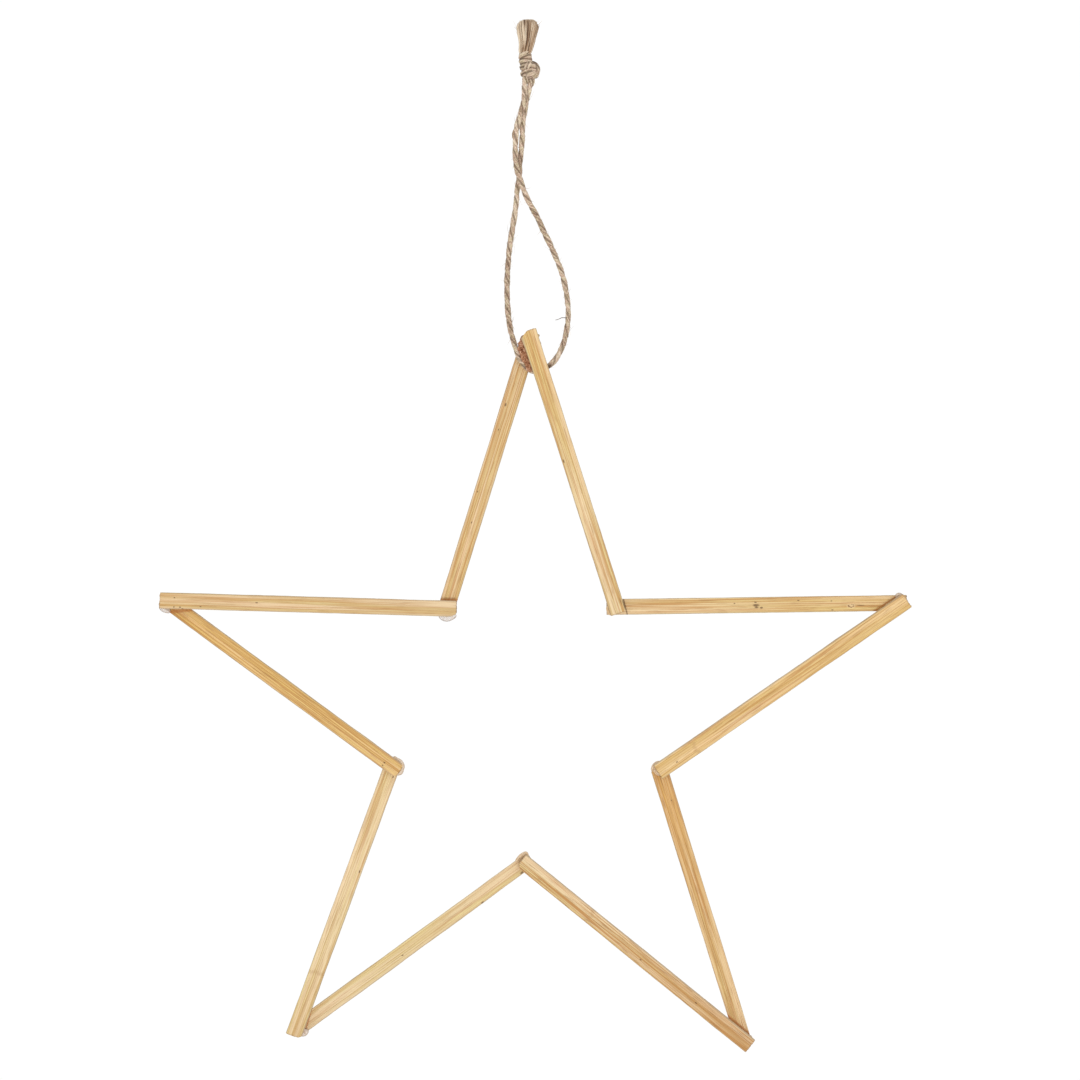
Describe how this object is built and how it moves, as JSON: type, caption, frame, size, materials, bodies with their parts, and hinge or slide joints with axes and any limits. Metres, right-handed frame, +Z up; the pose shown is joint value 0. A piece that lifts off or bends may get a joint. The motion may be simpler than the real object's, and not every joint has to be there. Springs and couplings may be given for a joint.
{
  "type": "hanging star",
  "caption": "Five-pointed star outline of flat bamboo splints, lapped and glued at the corners, on a knotted twine loop for hanging.",
  "frame": {"origin": "the point the star hangs by, between the two strands of twine just under the knot", "axes": "+Z up, -Y towards the viewer's side of the star, +X to the viewer's right; the star's flat outline lies in the XZ plane"},
  "size_m": [0.3012, 0.0094, 0.4126],
  "materials": {
    "bamboo_pale": "dry split bamboo, fine lengthwise fibres, unvarnished",
    "bamboo_straw": "dry split bamboo, fine lengthwise fibres, unvarnished",
    "bamboo_golden": "dry split bamboo, golden, fine lengthwise fibres, unvarnished",
    "bamboo_amber": "dry split bamboo, darker fibres, unvarnished",
    "glue": "milky hot-melt glue, smooth",
    "bark": "rough reddish bark",
    "jute_twine": "natural two-ply jute, hairy"
  },
  "bodies": {
    "root": {"stick_top_left": "bamboo_straw", "stick_left_upper": "bamboo_straw", "stick_left_lower": "bamboo_golden", "stick_lower_left_outer": "bamboo_pale", "stick_lower_left_inner": "bamboo_pale", "stick_lower_right_inner": "bamboo_amber", "stick_lower_right_outer": "bamboo_golden", "stick_right_lower": "bamboo_golden", "stick_right_upper": "bamboo_straw", "stick_top_right": "bamboo_straw", "glue_upper_left": "glue", "glue_left_tip": "glue", "glue_lower_left": "glue", "glue_lower_left_tip": "glue", "glue_bottom": "glue", "glue_lower_right_tip": "glue", "glue_lower_right": "glue", "glue_right_tip": "glue", "glue_upper_right": "glue", "bark_spacer": "bark", "twine_loop": "jute_twine", "twine_knot": "jute_twine", "twine_tassel": "jute_twine"}
  },
  "joints": []
}
